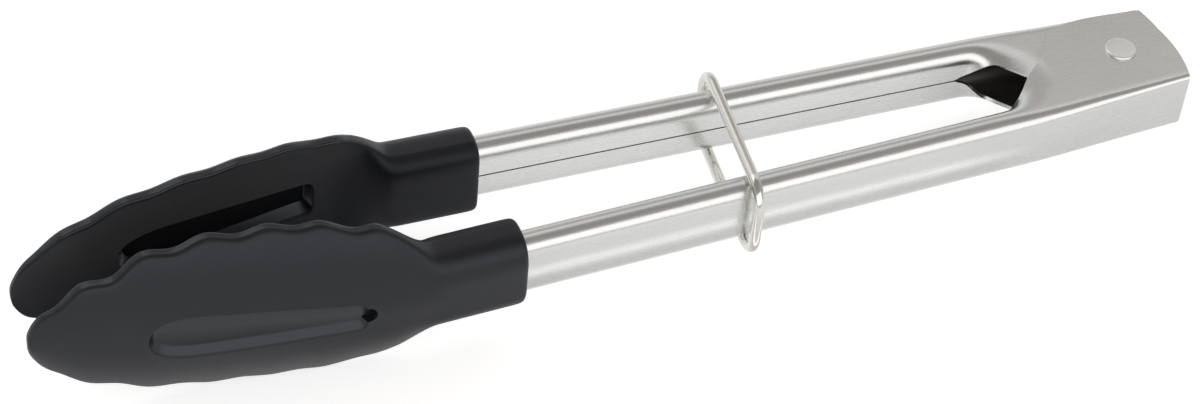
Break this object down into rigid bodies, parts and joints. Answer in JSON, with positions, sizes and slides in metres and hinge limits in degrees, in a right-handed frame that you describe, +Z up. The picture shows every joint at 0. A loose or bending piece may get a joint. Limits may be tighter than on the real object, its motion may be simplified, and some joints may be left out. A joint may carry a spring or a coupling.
{
  "type": "spring loaded kitchen tongs",
  "caption": "Locking kitchen tongs: folded steel arms on a sprung rivet hinge, a sliding wire lock ring, and scalloped nylon scoop jaws.",
  "frame": {"origin": "bottom centre of the whole box, on the surface the tongs lie on", "axes": "+X from the jaw tips to the hinge head, +Y across from the near arm to the far arm, +Z up; the hinge axis leans 3.6 degrees from +Z towards +X, as the tongs lie on their jaws and the lower rivet head"},
  "size_m": [0.2314, 0.0378, 0.0384],
  "materials": {
    "arm_steel": "satin stainless sheet, folded",
    "jaw_nylon": "fine matt moulded nylon, near black",
    "ring_wire": "bright drawn stainless wire",
    "rivet_steel": "plain stainless rivet",
    "spacer_steel": "plain steel tube",
    "spring_wire": "drawn spring wire"
  },
  "bodies": {
    "pivot": {"pivot_rivet": "rivet_steel", "pivot_spacer": "spacer_steel", "torsion_spring": "spring_wire"},
    "near_side": {"near_arm": "arm_steel", "near_jaw": "jaw_nylon"},
    "far_side": {"far_arm": "arm_steel", "far_jaw": "jaw_nylon"},
    "ring": {"lock_ring": "ring_wire"}
  },
  "joints": [
    {"name": "near_arm_hinge", "type": "hinge", "parent": "pivot", "child": "near_side", "pos_m": [0.10433, 0, 0.00812], "axis": [0.0618, 0, 0.9981], "range_deg": [-1.3, 4.7], "stiffness_Nm_per_rad": 0.3, "springref_deg": 4.7, "deforming": ["torsion_spring"]},
    {"name": "far_arm_hinge", "type": "hinge", "parent": "pivot", "child": "far_side", "pos_m": [0.10433, 0, 0.00812], "axis": [0.0618, 0, 0.9981], "range_deg": [-4.75, 1.35]},
    {"name": "ring_slide", "type": "slide", "parent": "pivot", "child": "ring", "axis": [0.9981, 0, -0.0618], "range_m": [-0.01795, 0.0636]}
  ],
  "couplings": [
    {"joint": "far_arm_hinge", "follows": "near_arm_hinge", "ratio": -1},
    {"joint": "ring_slide", "follows": "near_arm_hinge", "m_per_rad": 0.76923}
  ]
}
